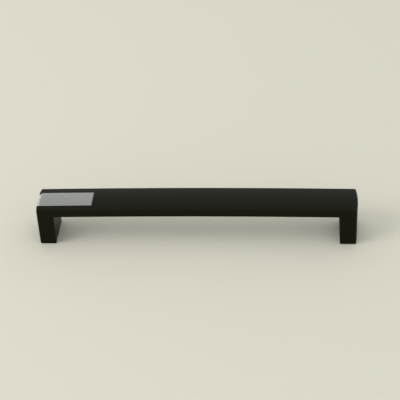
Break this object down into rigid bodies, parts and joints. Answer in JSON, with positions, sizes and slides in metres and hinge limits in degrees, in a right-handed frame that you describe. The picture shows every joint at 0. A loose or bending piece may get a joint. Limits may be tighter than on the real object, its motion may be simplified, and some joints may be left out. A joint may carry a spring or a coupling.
{
  "type": "furniture handle",
  "caption": "Bridge-shaped furniture handle: a gently arched black bar on square feet, with a flush satin-silver inlay at one end, screwed on from behind a drawer front or cabinet door.",
  "frame": {"origin": "on the mounting face, midway between the two screw holes and midway through the depth", "axes": "+X along the bar, with the inlay at the -X end; -Y is the front that the picture shows; +Z away from the furniture, from the mounting face to the crest of the bar"},
  "size_m": [0.2042, 0.0242, 0.0275],
  "materials": {
    "black_finish": "satin black lacquer on a zinc die casting",
    "satin_silver": "satin, with a silver-grey clear coat"
  },
  "bodies": {
    "root": {"handle_body": "black_finish", "inlay_plate": "satin_silver"}
  },
  "joints": []
}
